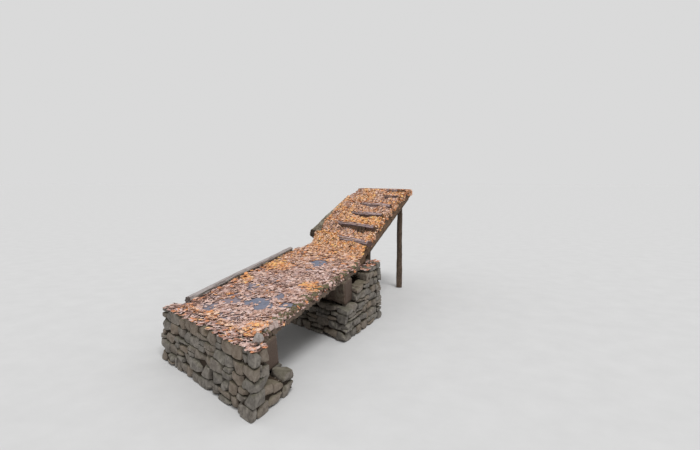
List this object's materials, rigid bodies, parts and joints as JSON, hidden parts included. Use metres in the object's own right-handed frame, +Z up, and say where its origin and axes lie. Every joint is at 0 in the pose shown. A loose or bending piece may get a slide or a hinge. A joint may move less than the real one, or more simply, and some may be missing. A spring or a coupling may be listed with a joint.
{
  "type": "log footbridge",
  "caption": "Rustic log footbridge with an earth and leaf covered deck, one kerb log and log steps climbing from its far end.",
  "frame": {"origin": "middle of the outline at the foot of the bridge, where its footings and posts stand", "axes": "+Y along the bridge from the near end to the steps, +X to the right when walking that way, +Z up"},
  "size_m": [2.22, 7.8761, 2.0549],
  "materials": {
    "rubble": "matte",
    "stone": "matte",
    "balk": "matte",
    "log": "matte",
    "weathered_log": "matte",
    "mossy_log": "matte",
    "step_log": "matte",
    "earth": "matte"
  },
  "bodies": {
    "root": {"near_footing": "rubble", "far_footing": "rubble", "near_balk": "balk", "far_balk": "balk", "stringer_1": "log", "stringer_2": "log", "stringer_3": "log", "stringer_4": "log", "cross_poles": "log", "deck_topping": "earth", "kerb_log": "weathered_log", "kerb_pegs": "log", "corner_stones": "stone", "landing_bed": "earth", "edging_log": "mossy_log", "edging_post_front": "log", "edging_post_back": "log", "step_log_1": "step_log", "step_log_2": "step_log", "step_log_3": "step_log", "step_log_4": "step_log", "step_log_5": "step_log", "step_log_6": "step_log", "tread_1": "earth", "tread_2": "earth", "tread_3": "earth", "tread_4": "earth", "tread_5": "earth", "tread_6": "earth", "step_stakes": "log", "bearer_left": "log", "bearer_right": "log", "post_front_left": "log", "post_front_right": "log", "post_back_left": "log", "post_back_right": "log"}
  },
  "joints": []
}
